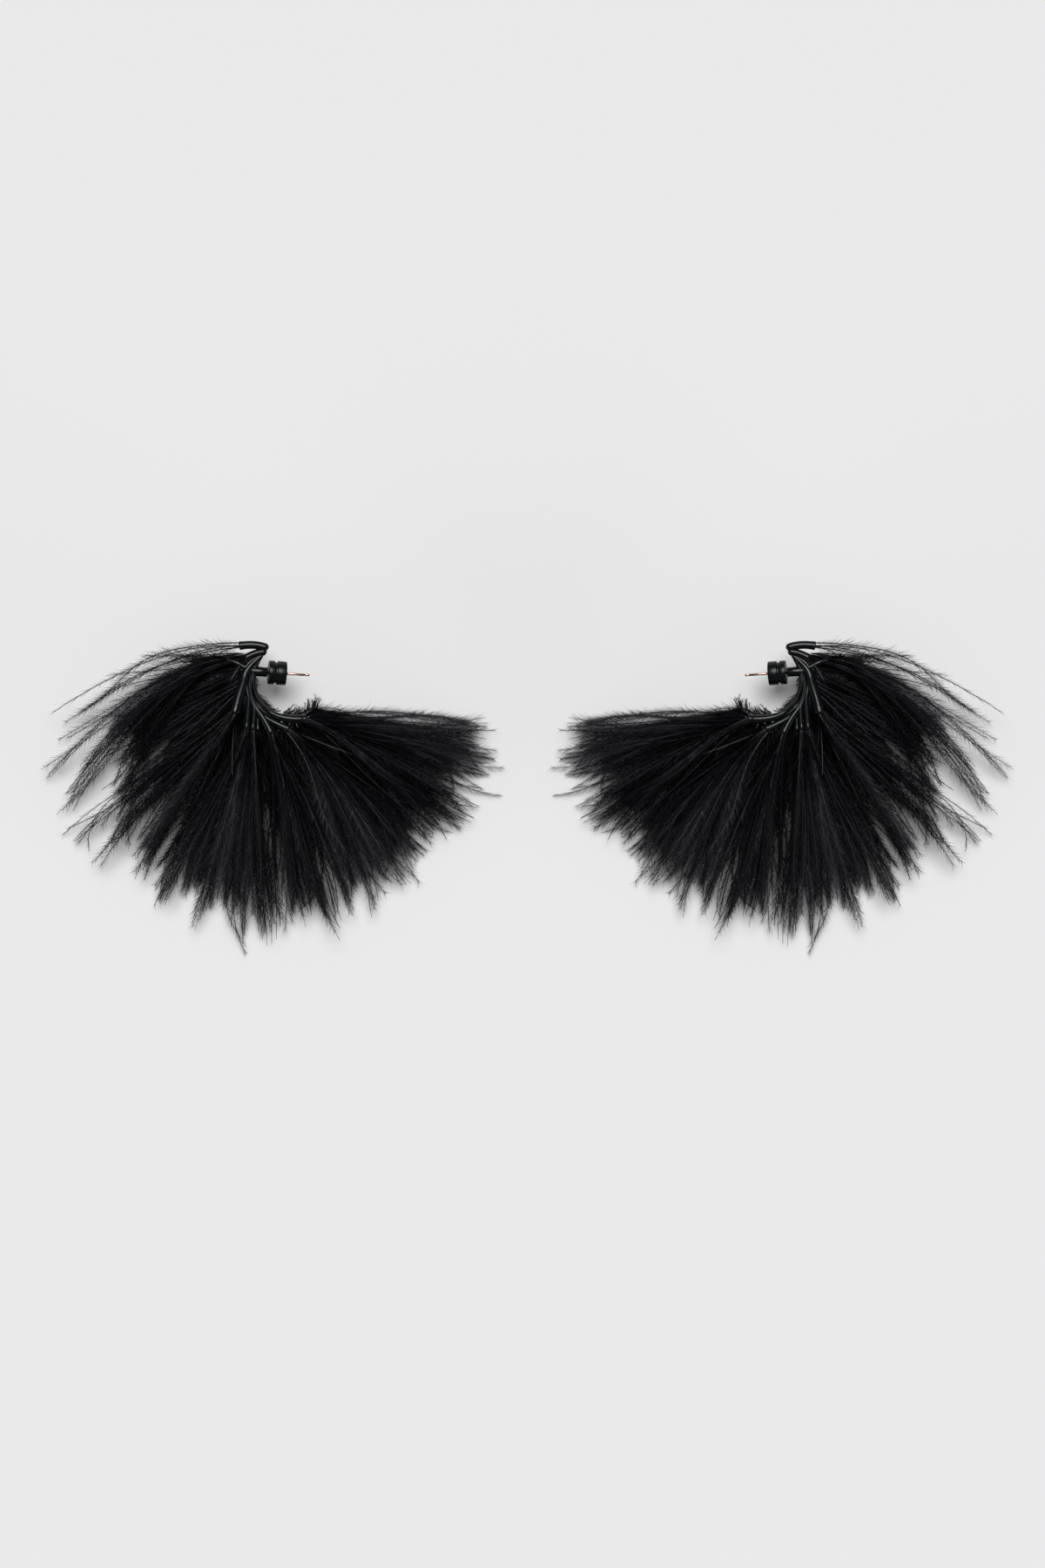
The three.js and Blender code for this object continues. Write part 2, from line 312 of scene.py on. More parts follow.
@dataclass(frozen=True)
class Lacquer:
    """Glossy black lacquer over cast brass, a little thin and lighter where it has been handled."""

    name: str = "black_lacquer"
    colour: str = "#06090a"
    thin: str = "#0d1113"
    ior: float = 1.52
    rough_low: float = 0.14
    rough_high: float = 0.27
    gloss: float = 0.24
    cloud_mm: float = 2.2  # size of the patches where the lacquer is thin
    polish_mm: float = 0.8  # size of the smoother and duller patches
    ripple_mm: float = 0.35  # size of the casting's ripples under the lacquer
    ripple_depth_mm: float = 0.05
    ripple: float = 0.12

    def build(self) -> bpy.types.Material:
        """The material."""
        nodes, shader = new_material(self.name)
        mix = nodes.add("ShaderNodeMix", data_type="RGBA")
        mix.inputs["A"].default_value = linear(self.colour)
        mix.inputs["B"].default_value = linear(self.thin)
        nodes.join(nodes.noise(self.cloud_mm, 3.0), mix.inputs["Factor"])
        nodes.join(mix.outputs["Result"], shader.inputs["Base Color"])
        nodes.join(nodes.ramp(nodes.noise(self.polish_mm), self.rough_low, self.rough_high),
                   shader.inputs["Roughness"])
        bump = nodes.add("ShaderNodeBump", Strength=self.ripple,
                         Distance=self.ripple_depth_mm * MM)
        nodes.join(nodes.noise(self.ripple_mm), bump.inputs["Height"])
        nodes.join(bump.outputs["Normal"], shader.inputs["Normal"])
        shader.inputs["IOR"].default_value = self.ior
        shader.inputs["Specular IOR Level"].default_value = self.gloss
        return nodes.material


@dataclass(frozen=True)
class Plume:
    """Dyed ostrich feather: near black, each barb a slightly different black, with a soft sheen."""

    dark: str = "#010102"
    light: str = "#3e3b43"
    roughness: float = 0.42
    ior: float = 1.5
    gloss_low: float = 0.01  # the darkest barbs hardly shine, since barbules shade each other
    gloss_high: float = 0.5

    def build(self) -> bpy.types.Material:
        """The material."""
        nodes, shader = new_material("dyed_ostrich_feather")
        # tone is each barb's own random tone, with painted shade toward the roots, painted glints
        # on the shafts and painted light on some bunches
        tone = nodes.add("ShaderNodeAttribute", attribute_name="tone")
        mix = nodes.add("ShaderNodeMix", data_type="RGBA")
        mix.inputs["A"].default_value = linear(self.dark)
        mix.inputs["B"].default_value = linear(self.light)
        nodes.join(tone.outputs["Fac"], mix.inputs["Factor"])
        nodes.join(mix.outputs["Result"], shader.inputs["Base Color"])
        shader.inputs["Roughness"].default_value = self.roughness
        shader.inputs["IOR"].default_value = self.ior
        nodes.join(nodes.ramp(tone.outputs["Fac"], self.gloss_low, self.gloss_high),
                   shader.inputs["Specular IOR Level"])
        return nodes.material


@dataclass(frozen=True)
class RoseGold:
    """Drawn brass wire, plated pale rose gold."""

    colour: str = "#cfa79a"
    rough_low: float = 0.16
    rough_high: float = 0.3
    draw_mm: float = 0.3  # size of the marks left by drawing the wire

    def build(self) -> bpy.types.Material:
        """The material."""
        nodes, shader = new_material("rose_gold_wire")
        shader.inputs["Base Color"].default_value = linear(self.colour)
        shader.inputs["Metallic"].default_value = 1.0
        nodes.join(nodes.ramp(nodes.noise(self.draw_mm), self.rough_low, self.rough_high),
                   shader.inputs["Roughness"])
        return nodes.material


@dataclass(frozen=True)
class Silicone:
    """Milky silicone rubber of the grip inside the back."""

    colour: str = "#d5d6d6"
    ior: float = 1.41
    rough_low: float = 0.4
    rough_high: float = 0.55
    grain_mm: float = 0.6

    def build(self) -> bpy.types.Material:
        """The material."""
        nodes, shader = new_material("silicone_rubber")
        shader.inputs["Base Color"].default_value = linear(self.colour)
        shader.inputs["IOR"].default_value = self.ior
        nodes.join(nodes.ramp(nodes.noise(self.grain_mm), self.rough_low, self.rough_high),
                   shader.inputs["Roughness"])
        return nodes.material


@dataclass(frozen=True)
class Tabletop:
    """Seamless matte paper."""

    colour: str = "#e9e9ea"
    roughness: float = 0.9
    gloss: float = 0.1

    def build(self) -> bpy.types.Material:
        """The material."""
        nodes, shader = new_material("pale_paper")
        shader.inputs["Base Color"].default_value = linear(self.colour)
        shader.inputs["Roughness"].default_value = self.roughness
        shader.inputs["Specular IOR Level"].default_value = self.gloss
        return nodes.material


@dataclass
class Finishes:
    """Every material of the pair, made once."""

    lacquer: bpy.types.Material = field(default_factory=lambda: Lacquer().build())
    worn: bpy.types.Material = field(default_factory=lambda: Lacquer(
        rough_low=0.2, rough_high=0.38, gloss=0.2, name="worn_lacquer").build())
    plume: bpy.types.Material = field(default_factory=lambda: Plume().build())
    wire: bpy.types.Material = field(default_factory=lambda: RoseGold().build())
    silicone: bpy.types.Material = field(default_factory=lambda: Silicone().build())


# ------------------------------------------------------------------ the metal

@dataclass(frozen=True)
class Cup:
    """One feather cup, its root on the hoop and its open mouth among the feathers.

    root and mouth are (degrees round the hoop, millimetres outside the spine); leave is the
    heading at the root. A stalked cup's stem runs back along the hoop and joins the sheaf.
    """

    name: str
    row: Row
    root: tuple[float, float]
    mouth: tuple[float, float]
    leave: float
    root_r: float
    mouth_r: float
    stalked: bool = True


CUPS = (
    Cup("top_a", Row.FRONT, (128.5, -1.5), (148.5, 4.6), 156, 0.98, 1.05, False),
    Cup("top_b", Row.FRONT, (134, -1.9), (156, 1.6), 176, 0.9, 1.0, False),
    Cup("left_a", Row.FRONT, (168, 0.95), (164.4, 6.1), 140, 0.7, 0.85),
    Cup("left_b", Row.FRONT, (184, 1.15), (211, 5.8), 250, 1.3, 1.42),
    Cup("low_a", Row.FRONT, (203, 0.82), (227.8, 6.2), 268, 0.72, 0.82),
    Cup("low_b", Row.FRONT, (216, 0.7), (232.2, 5.2), 270, 0.5, 0.72),
    Cup("low_c", Row.FRONT, (228, 0.92), (248.8, 3.7), 304, 0.6, 1.08),
    Cup("right_a", Row.FRONT, (246.5, 0.9), (266, 1.75), 332, 0.58, 0.95),
    Cup("right_b", Row.FRONT, (251.5, -0.85), (289.3, -0.2), 345, 0.7, 1.25),
    Cup("back_a", Row.BACK, (176, 0.95), (190, 5.3), 205, 0.6, 0.95),
    Cup("back_b", Row.BACK, (224, 0.95), (236, 4.8), 262, 0.6, 0.95),
    Cup("back_c", Row.BACK, (257, -0.9), (297, -1.75), 350, 0.6, 0.9),
)


@dataclass
class Hoop:
    """The cast half hoop: a curved spine and the feather cups that fan out of it."""

    inner_r: float = 9.8
    spine_width: float = 1.4
    spine_from: float = 160.0  # degrees round the hoop, the CAD spine's upper end
    spine_end: float = 0.62  # how full the CAD spine is at its ends, of its full width
    metal_z: float = 11.5  # middle of the metal above the table
    row_z: float = 1.25  # how far each row of cups lies above or below that
    head_angle: float = 141.0  # where every stem starts
    head_r: float = 9.7
    ridge: float = 0.62  # width of the narrow inner ridge
    ridge_depth: float = 4.6
    ridge_span: tuple[float, float] = (147.0, 260.0)
    web: float = 2.3  # width of the flatter web under the stems
    body: float = 5.0  # width of the broad part that the middle cups grow from
    body_span: tuple[float, float] = (176.0, 232.0)
    web_depth: float = 2.4
    stem_tip_r: float = 0.3
    cup_wall: float = 0.28
    cup_depth: float = 1.9
    lip: float = 0.07  # how far a cup swells at its mouth
    easing: int = 10  # rounds of averaging along a cup's line
    boxy: float = 0.65  # power that squares off the ridge's section

    @property
    def outer_r(self) -> float:
        """The outside of the spine."""
        return self.inner_r + self.spine_width

    def mouth(self, cup: Cup) -> Array:
        """The middle of a cup's open end."""
        z = self.metal_z + cup.row.value * (self.row_z + max(0.0, cup.mouth_r - 1.0))
        return polar(cup.mouth[0], self.outer_r + cup.mouth[1], z)

    def line(self, cup: Cup, count: int) -> tuple[Array, Array]:
        """A cup's centre line and its level directions, a quadratic curve from root to mouth."""
        root = polar(cup.root[0], self.outer_r + cup.root[1],
                     self.metal_z + self.row_z * cup.row.value)
        mouth = self.mouth(cup)
        bend = root + heading(cup.leave) * np.linalg.norm(mouth - root) * 0.45
        t = np.linspace(0, 1, count)[:, None]
        points = (1 - t) ** 2 * root + 2 * t * (1 - t) * bend + t**2 * mouth
        along = (1 - t) * (bend - root) + t * (mouth - bend)
        along[:, 2] = 0.0
        return points, unit(along)

    def horn(self, cup: Cup, count: int) -> tuple[Array, Array, Array]:
        """A cup's whole centre line, with the stem that follows the hoop back to its head.

        The stem keeps to the hoop and drifts outward to the cup's root, by a smooth step of the
        angle. The joined line is spaced evenly and then eased by averaging each point with its
        neighbours.

        Returns:
            Points, level directions, and how far along each point is: 0 to 1 on the stem, 1 to
            2 on the cup.
        """
        points = self.line(cup, 14)[0]
        stem = 0.0
        if cup.stalked:
            angle = np.arange(self.head_angle, cup.root[0] - 4, 4.0)
            radius = self.head_r + (self.outer_r + cup.root[1] - self.head_r) * smooth(
                angle, self.head_angle, cup.root[0])
            tail = polar(angle, radius, points[0, 2])
            stem = np.linalg.norm(np.diff(tail, axis=0), axis=1).sum()
            points = np.concatenate([tail, points])
        way = np.concatenate([[0], np.cumsum(np.linalg.norm(np.diff(points, axis=0), axis=1))])
        even = np.linspace(0, way[-1], count)
        points = np.stack([np.interp(even, way, points[:, i]) for i in range(3)], -1)
        for _ in range(self.easing):
            points[1:-1] = points[1:-1] / 2 + (points[:-2] + points[2:]) / 4
        along = np.gradient(points, axis=0)
        along[:, 2] = 0.0
        along[-1] = self.line(cup, 3)[1][-1]
        in_cup = 1 + (even - stem) / (way[-1] - stem)
        return points, unit(along), np.where(even < stem, even / max(stem, 1e-6), in_cup)

    def cup_shape(self, cup: Cup) -> Shape:
        """A cup and its stem: outside from the rounded start to the rolled lip, then the bore.

        The radius grows evenly along the stem, then with the square root of the way along the
        cup; the start is a half ball and the last part swells into a small lip.
        """
        count = 60
        points, along, way = self.horn(cup, count)
        t = np.clip(way - 1, 0, 1)
        radius = np.where(way < 1, self.stem_tip_r + (cup.root_r - self.stem_tip_r) * way,
                          cup.root_r + (cup.mouth_r - cup.root_r) * np.sqrt(t))
        far = np.linalg.norm(points - points[0], axis=1)
        ball = np.clip(far / radius[0], 0.02, 1)
        radius = radius * np.sqrt(1 - (1 - ball) ** 2 + 0.01)
        radius = radius + self.lip * smooth(t, 0.84, 0.93) * (1 - smooth(t, 0.97, 1.03))
        bore = cup.mouth_r - self.cup_wall
        lip = points[-1] + along[-1] * 0.05
        inner = [lip, points[-1] - along[-1] * 0.1, points[-1] - along[-1] * 0.6,
                 points[-1] - along[-1] * self.cup_depth * 0.6]
        points = np.concatenate([points, inner])
        along = np.concatenate([along, np.repeat(along[-1:], len(inner), 0)])
        radius = np.concatenate([radius, [cup.mouth_r - 0.12, bore, bore, bore * 0.9]])
        return grid_tube(rings_round(points, along, radius, radius, 36))

    def arc_shape(self, span: tuple[float, float], inner: float, width: float, depth: float,
                  roundness: float) -> Shape:
        """A level arc of metal with an oval or rounded box section, slim at both ends.

        The section is the inner radius plus half the width times one plus cos(a), and half the
        depth times sin(a), with both raised to the roundness. Its size grows with the square
        root of the way from either end.

        Args:
            span: first and last angle round the hoop, in degrees.
            inner: radius of its inside.
            width: radial width at its fullest.
            depth: height at its fullest, half above and half below the middle of the metal.
            roundness: 1 for an oval section, less for a squarer one.
        """
        t = np.linspace(0, 1, 96)
        full = np.minimum(1, 0.25 + 1.3 * np.sqrt(np.minimum(t, 1 - t) + 0.0005))[:, None]
        a = np.linspace(0, 2 * np.pi, 40, endpoint=False)

        def box(c: Array) -> Array:
            """A cosine or sine squared off toward a rounded box."""
            return np.sign(c) * np.abs(c) ** roundness

        flat = heading(span[0] + (span[1] - span[0]) * t)[:, None] * (
            inner + width / 2 * full * (1 + box(np.cos(a))))[..., None]
        flat[..., 2] = self.metal_z + depth / 2 * full * box(np.sin(a))
        return grid_tube(flat)

    def spine_shape(self) -> Shape:
        """The spine: its inner ridge, the flatter web under the stems, and the broad body."""
        return Shape.join([
            self.arc_shape(self.ridge_span, self.inner_r, self.ridge, self.ridge_depth,
                           self.boxy),
            self.arc_shape(self.ridge_span, self.inner_r + self.ridge / 2, self.web,
                           self.web_depth, 1.0),
            self.arc_shape(self.body_span, self.inner_r + self.ridge, self.body,
                           self.web_depth, 1.0)])

    def build(self, seat: Seat, finishes: Finishes) -> None:
        """Make the spine and every cup of one earring."""
        seat.make("hoop", self.spine_shape(), finishes.lacquer, True, "earrings",
                  (f"{seat.prefix}_hoop_spine",))
        for cup in CUPS:
            seat.make(f"cup_{cup.name}", self.cup_shape(cup), finishes.lacquer, True,
                      "earrings", (f"{seat.prefix}_socket_{cup.name}",))


# The pin's last stretch, from its shaft to its point, as (change of radius, distance from the
# tip): a shallow groove that holds the back, then a rounded end.
PIN_TIP = ((0.0, -1.3), (-0.04, -1.22), (-0.08, -1.1), (-0.08, -1.0), (-0.04, -0.88),
           (0.0, -0.8), (0.0, -0.25), (-0.06, -0.1), (-0.16, -0.02))


@dataclass
class EarPost:
    """The stem, the pin, and the barrel back that slides and turns on it."""

    stem_length: float = 2.7
    stem_r: float = 1.25
    stem_root: float = 1.7  # how far the stem reaches back into the metal
    stem_edge: float = 0.22  # rounding of its end
    pin_r: float = 0.31
    pin_length: float = 10.9
    shell_r: float = 3.05
    shell_length: float = 4.5
    wall: float = 0.75
    groove_at: float = 1.55
    groove_width: float = 0.65
    groove_depth: float = 0.4
    lip: float = 0.5  # thickness of the shell's end walls
    edge: float = 0.12  # rounding of the shell's edges
    hole_r: float = 0.88
    gap: float = 0.3
    dip: float = 9.5  # degrees that the pin points down toward the table
    yaw: float = -4.0  # degrees that it turns from straight across
    angle: float = 169.0  # degrees round the hoop where the stem leaves it
    rise: float = 0.6  # how far above the middle of the metal it starts

    def turned(self, profile: list[tuple[float, float]], hoop: Hoop, around: int,
               ring: bool) -> Shape:
        """A turned piece: a profile of (radius, distance along the pin) carried round the axis.

        Each point is the start plus the distance along the axis plus the radius times the
        cosine and sine of the angle on the two directions square to it.

        Args:
            profile: outline points; closed on itself for a ring, else from axis to axis.
            hoop: the hoop that the stem stands on.
            around: points round the axis.
            ring: whether the outline closes on itself.

        Returns:
            The closed shape.
        """
        dip, yaw = math.radians(self.dip), heading(self.yaw)
        axis = yaw * math.cos(dip) - UP * math.sin(dip)
        start = polar(self.angle, hoop.inner_r - self.gap - math.sin(dip) * self.stem_r,
                      hoop.metal_z + self.rise)
        side = unit(np.cross(UP, axis))
        up = np.cross(axis, side)
        r, s = np.array(profile, float).T
        a = np.linspace(0, 2 * np.pi, around, endpoint=False)
        round_ = np.cos(a)[:, None] * side + np.sin(a)[:, None] * up
        rings = start + s[:, None, None] * axis + r[:, None, None] * round_[None]
        if not ring:
            return grid_tube(rings)
        k = len(r)
        i, j = np.meshgrid(np.arange(k), np.arange(around), indexing="ij")
        i2, j2 = (i + 1) % k, (j + 1) % around
        quads = np.stack([i * around + j, i * around + j2, i2 * around + j2, i2 * around + j], -1)
        return outward(Shape(rings.reshape(-1, 3), quads=quads.reshape(-1, 4)))

    @staticmethod
    def eased(corners: list[tuple[float, float]], ease: float) -> list[tuple[float, float]]:
        """A closed outline with each corner cut into three points.

        Two lie the ease back along the corner's sides, and the third near the arc between them.
        """
        points = np.array(corners, float)
        before = unit(np.roll(points, 1, 0) - points)
        after = unit(np.roll(points, -1, 0) - points)
        third = points + (before + after) * ease * 0.29
        return [tuple(p) for trio in zip(points + before * ease, third, points + after * ease)
                for p in trio]

    def build(self, seat: Seat, hoop: Hoop, finishes: Finishes) -> None:
        """Make the stem, the pin and the back of one earring."""
        top, edge = self.stem_length, self.stem_edge
        stem = [(0.2, -self.stem_root), (self.stem_r - 0.2, -self.stem_root),
                (self.stem_r, 0.3 - self.stem_root), (self.stem_r, top - edge),
                (self.stem_r - 0.06, top - 0.06), (self.stem_r - edge, top), (0.2, top)]
        seat.make("stem_turned", self.turned(stem, hoop, 48, False), finishes.lacquer, True,
                  "earrings", (f"{seat.prefix}_stem",))
        tip = top + self.pin_length
        pin = [(0.1, top - 0.2), (self.pin_r, top - 0.2),
               *((self.pin_r + change, tip + back) for change, back in PIN_TIP), (0.06, tip)]
        seat.make("pin_wire", self.turned(pin, hoop, 32, False), finishes.wire, True,
                  "earrings", (f"{seat.prefix}_post_pin",))
        face = top + self.gap
        end = face + self.shell_length
        cut, cut_end = face + self.groove_at, face + self.groove_at + self.groove_width
        low = self.shell_r - self.groove_depth
        bore = self.shell_r - self.wall
        shell = [(self.hole_r, face), (self.shell_r, face), (self.shell_r, cut), (low, cut),
                 (low, cut_end), (self.shell_r, cut_end), (self.shell_r, end),
                 (self.hole_r, end), (self.hole_r, end - self.lip), (bore, end - self.lip),
                 (bore, face + self.lip), (self.hole_r, face + self.lip)]
        seat.make("back_turned", self.turned(self.eased(shell, self.edge), hoop, 96, True),
                  finishes.worn, True, f"{seat.prefix}_shell",
                  (f"{seat.prefix}_back_shell",))
        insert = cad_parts[f"{seat.prefix}_back_insert"]
        insert.data.materials.clear()
        insert.data.materials.append(finishes.silicone)


# ------------------------------------------------------------------ the feathers

@dataclass(frozen=True)
class FanLine:
    """A line between neighbouring bunches.

    start is (degrees, millimetres outside the spine), rim is (degrees, share of the fan's
    reach); leave and arrive are the headings there.
    """

    start: tuple[float, float]
    leave: float
    rim: tuple[float, float]
    arrive: float


FRONT_LINES = (
    FanLine((145.9, 5.8), 169, (187.0, 0.985), 216),
    FanLine((153.1, 4.7), 178, (191.5, 1.0), 219),
    FanLine((155.2, 3.9), 180, (198.4, 1.04), 219),
    FanLine((176.0, 3.6), 206, (213.0, 1.08), 227),
    FanLine((217.3, 6.3), 248, (236.4, 1.09), 245),
    FanLine((230.2, 6.1), 265, (251.6, 1.065), 260),
    FanLine((238.9, 4.7), 273, (265.6, 1.015), 274),
    FanLine((257.1, 3.2), 303, (284.5, 1.0), 287),
    FanLine((276.2, 1.7), 327, (309.7, 0.9), 316),
    FanLine((295.4, -2.1), 348, (346.6, 0.88), 357),
)
BACK_LINES = (
    FanLine((181.7, 5.8), 165, (188.6, 0.97), 209),
    FanLine((214.7, 4.6), 231, (227.1, 1.08), 234),
    FanLine((270.0, 2.3), 305, (297.0, 0.93), 309),
    FanLine((305.5, -2.6), 350, (347.4, 0.885), 359),
)


@dataclass(frozen=True)
class Layer:
    """How high one row's barbs lie: from the lowest to the highest barb, in millimetres."""

    tip_z: tuple[float, float]
    middle_z: tuple[float, float]
    arch: float  # extra height near the cup


LAYERS = {
    Row.FRONT: Layer((1.0, 6.5), (9.0, 14.5), 1.5),
    Row.BACK: Layer((0.5, 3.0), (3.0, 7.5), 0.0),
}


@dataclass(frozen=True)
class Bunch:
    """How one bunch of barbs is made up."""

    cup: str
    barbs: int
    clumps: int
    shortest: float = 0.72  # share of the way to the rim
    longest: float = 1.03
    spread: float = 0.035  # how far a barb lies from its clump, of the bunch's width
    shade: float = 0.0  # painted light: how much lighter the whole bunch is, where the light falls across it
    down: int = 14  # short barbs round the cup
    down_length: float = 17.0
    splay: float = 32.0  # degrees that they stand to either side
    lean: float = 0.0  # degrees that they are turned as a whole


BUNCHES = (
    Bunch("top_a", 4, 4, 0.84, 0.98, 0.02, down=1, splay=1, lean=14, down_length=10),
    Bunch("top_b", 12, 6, 0.66, 1.04, 0.08, down=5, down_length=10, splay=8, lean=34),
    Bunch("left_a", 36, 9, 0.64, 1.08, 0.05, splay=18, lean=26),
    Bunch("left_b", 58, 12, 0.8, 1.1, 0.04),
    Bunch("low_a", 50, 10, 0.84, 1.03),
    Bunch("low_b", 48, 9, 0.88, 1.04),
    Bunch("low_c", 62, 11, 0.88, 1.05),
    # right_a and right_b carry painted light in their shade, lighter where the light falls across
    # the fringe
    Bunch("right_a", 78, 13, 0.84, 1.04, shade=0.04),
    Bunch("right_b", 88, 14, 0.82, 1.05, shade=0.07, down=10, down_length=13, splay=16, lean=-34),
    Bunch("back_a", 48, 14, 0.55, 1.0, splay=16, lean=16),
    Bunch("back_b", 70, 20, 0.7, 1.02),
    # back_c's shade is painted light too, where the light falls across the fringe
    Bunch("back_c", 74, 17, 0.8, 1.03, shade=0.05, down=6, down_length=9, splay=12, lean=-46),
)


@dataclass(frozen=True)
class Tuft:
    """Barbs rooted along the hoop, between the cups, that fill in round the metal.

    arc is in degrees round the hoop and radius in millimetres from its centre; turn is the
    heading in degrees from straight outward; the barbs belong to one cup's plume.
    """

    cup: str
    barbs: int
    arc: tuple[float, float]
    radius: tuple[float, float]
    turn: tuple[float, float]
    length: tuple[float, float]
    z: tuple[float, float]


TUFTS = (
    Tuft("top_b", 16, (152, 162), (12.0, 15.0), (34, 54), (8, 17), (8.5, 12.0)),
    Tuft("back_a", 80, (158, 200), (11.0, 13.5), (18, 48), (15, 38), (7.0, 10.0)),
    Tuft("back_b", 84, (196, 246), (11.0, 13.5), (-20, 30), (14, 36), (7.0, 10.0)),
    Tuft("left_a", 30, (168, 194), (12.6, 15.6), (16, 44), (10, 24), (11.2, 13.0)),
    Tuft("back_b", 22, (176, 202), (9.9, 10.4), (85, 125), (1.6, 2.8), (8.0, 10.0)),
    Tuft("back_b", 26, (200, 236), (9.6, 10.1), (105, 150), (1.6, 3.2), (8.0, 10.5)),
    Tuft("back_b", 12, (170, 188), (9.8, 10.4), (110, 150), (1.2, 2.2), (8.0, 10.0)),
    Tuft("back_c", 84, (242, 292), (9.8, 12.0), (-5, 50), (13, 36), (7.0, 10.0)),
    Tuft("back_c", 44, (248, 306), (8.9, 10.2), (125, 180), (2.2, 4.2), (9.0, 11.5)),
)


@dataclass
class Barbs:
    """Many feather barbs as whole arrays: centre lines, and barbules on both sides of each."""

    points: Array  # (n, k, 3) centre lines
    roll: Array  # (n, k) turn of the barb's flat side about its own line
    tone: Array  # (n,) how light each barb is
    shaft_r: tuple[float, float] = (0.17, 0.07)  # at the root and at the tip
    shaft_tone: tuple[float, float] = (0.35, 1.0)  # share of the barb's tone, root and tip; the darker root is painted shade deep in the plume
    shaft_glint: float = 0.3  # painted glint: how much lighter a shaft is than its barbules
    spacing: float = 0.42  # between barbules on one side
    barbule: float = 3.4  # length of the longest barbules
    half: float = 0.062  # half width of a barbule at its base
    slant: float = 34.0  # degrees between a barbule and the shaft
    bare: float = 0.02  # share of the barb without barbules at its root

    def frames(self) -> tuple[Array, Array, Array]:
        """Unit directions along, across and square to each barb, turned by its roll."""
        along = unit(np.gradient(self.points, axis=1))
        side = unit(np.cross(UP, along))
        up = np.cross(along, side)
        c, s = np.cos(self.roll)[..., None], np.sin(self.roll)[..., None]
        return along, c * side + s * up, c * up - s * side

    def shafts(self) -> Shape:
        """The shafts: three-sided tubes, thinner toward the tip, each end one triangle."""
        n, k, _ = self.points.shape
        _, side, up = self.frames()
        r = np.linspace(*self.shaft_r, k)[None, :, None, None]
        a = np.radians([30.0, 150.0, 270.0])[None, None, :, None]
        rings = self.points[:, :, None] + r * (np.cos(a) * side[:, :, None]
                                              + np.sin(a) * up[:, :, None])
        base = (np.arange(n) * k * 3)[:, None, None, None]
        i = np.arange(k - 1)[None, :, None, None] * 3
        j = np.arange(3)[None, None, :, None]
        quads = np.concatenate([base + i + j, base + i + 3 + j, base + i + 3 + (j + 1) % 3,
                                base + i + (j + 1) % 3], -1)
        start = base[:, 0, 0] + np.array([0, 1, 2])
        end = base[:, 0, 0] + (k - 1) * 3 + np.array([2, 1, 0])
        # the shaft's tone: painted glint along it, and painted shade toward its root
        tone = np.repeat(np.clip(self.tone + self.shaft_glint, 0, 1), k * 3) * np.tile(
            np.repeat(np.linspace(*self.shaft_tone, k), 3), n)
        return Shape(rings.reshape(-1, 3), np.concatenate([start, end]), quads.reshape(-1, 4),
                     tone)

    def barbules(self, rng: np.random.Generator) -> Shape:
        """The barbules: slim closed spikes of four faces, standing off both sides of a barb.

        Each starts on the shaft and slants toward the tip of the barb, and the longest stand
        along its middle. Its base is a flat triangle square to it and its end a point.
        """
        n, k, _ = self.points.shape
        along, side, up = self.frames()
        length = np.linalg.norm(np.diff(self.points, axis=1), axis=2).sum(1)
        count = max(4, int(length.mean() / self.spacing))
        t = (np.arange(count) + rng.uniform(0.1, 0.9, (n, 2, count))) / count
        t = self.bare + (1 - self.bare - rng.uniform(-0.02, 0.06, (n, 1, 1)).clip(0)) * t
        at = t * (k - 1)
        low = np.minimum(at.astype(int), k - 2)
        part = (at - low)[..., None]
        rows = np.arange(n)[:, None, None]

        def pick(values: Array) -> Array:
            """Values on the centre lines at every barbule's place."""
            return values[rows, low] * (1 - part) + values[rows, low + 1] * part

        base, d, s, u = pick(self.points), pick(along), pick(side), pick(up)
        sign = np.array([1.0, -1.0])[None, :, None]
        slant = np.radians(rng.normal(self.slant, 7, t.shape) - 4 * t)
        swell = (0.45 + 0.55 * smooth(t, 0.0, 0.16)) * (1 - 0.35 * smooth(t, 0.85, 1.0))
        reach = self.barbule * swell * rng.uniform(0.55, 1.15, t.shape)
        lift = rng.normal(0, 0.22, t.shape)
        out = unit(np.cos(slant)[..., None] * d + (np.sin(slant) * sign)[..., None] * s
                   + lift[..., None] * u - 0.06 * UP)
        tip = base + out * reach[..., None]
        tip[..., 2] = np.maximum(tip[..., 2], 0.05)
        wide = unit(np.cross(out, u))
        thick = np.cross(out, wide)
        half = self.half * (0.6 + 0.4 * swell)[..., None]
        corners = np.stack([base + half * wide, base - 0.5 * half * wide + 0.45 * half * thick,
                            base - 0.5 * half * wide - 0.45 * half * thick, tip], axis=-2)
        m = n * 2 * count
        first = (np.arange(m) * 4)[:, None, None]
        faces = first + np.array([[0, 1, 2], [0, 3, 1], [1, 3, 2], [2, 3, 0]])
        painted_root_shade = 0.15 + 0.85 * smooth(t, 0.1, 0.75)  # painted shade: darker toward the root, deep in the plume
        tone = (self.tone[:, None, None] + rng.normal(0, 0.08, t.shape)) * painted_root_shade
        return Shape(corners.reshape(-1, 3), faces.reshape(-1, 3),
                     tone=np.clip(np.repeat(tone.ravel(), 4), 0, 1))

    def build(self, rng: np.random.Generator) -> Shape:
        """Shafts and barbules together."""
        return Shape.join([self.shafts(), self.barbules(rng)])


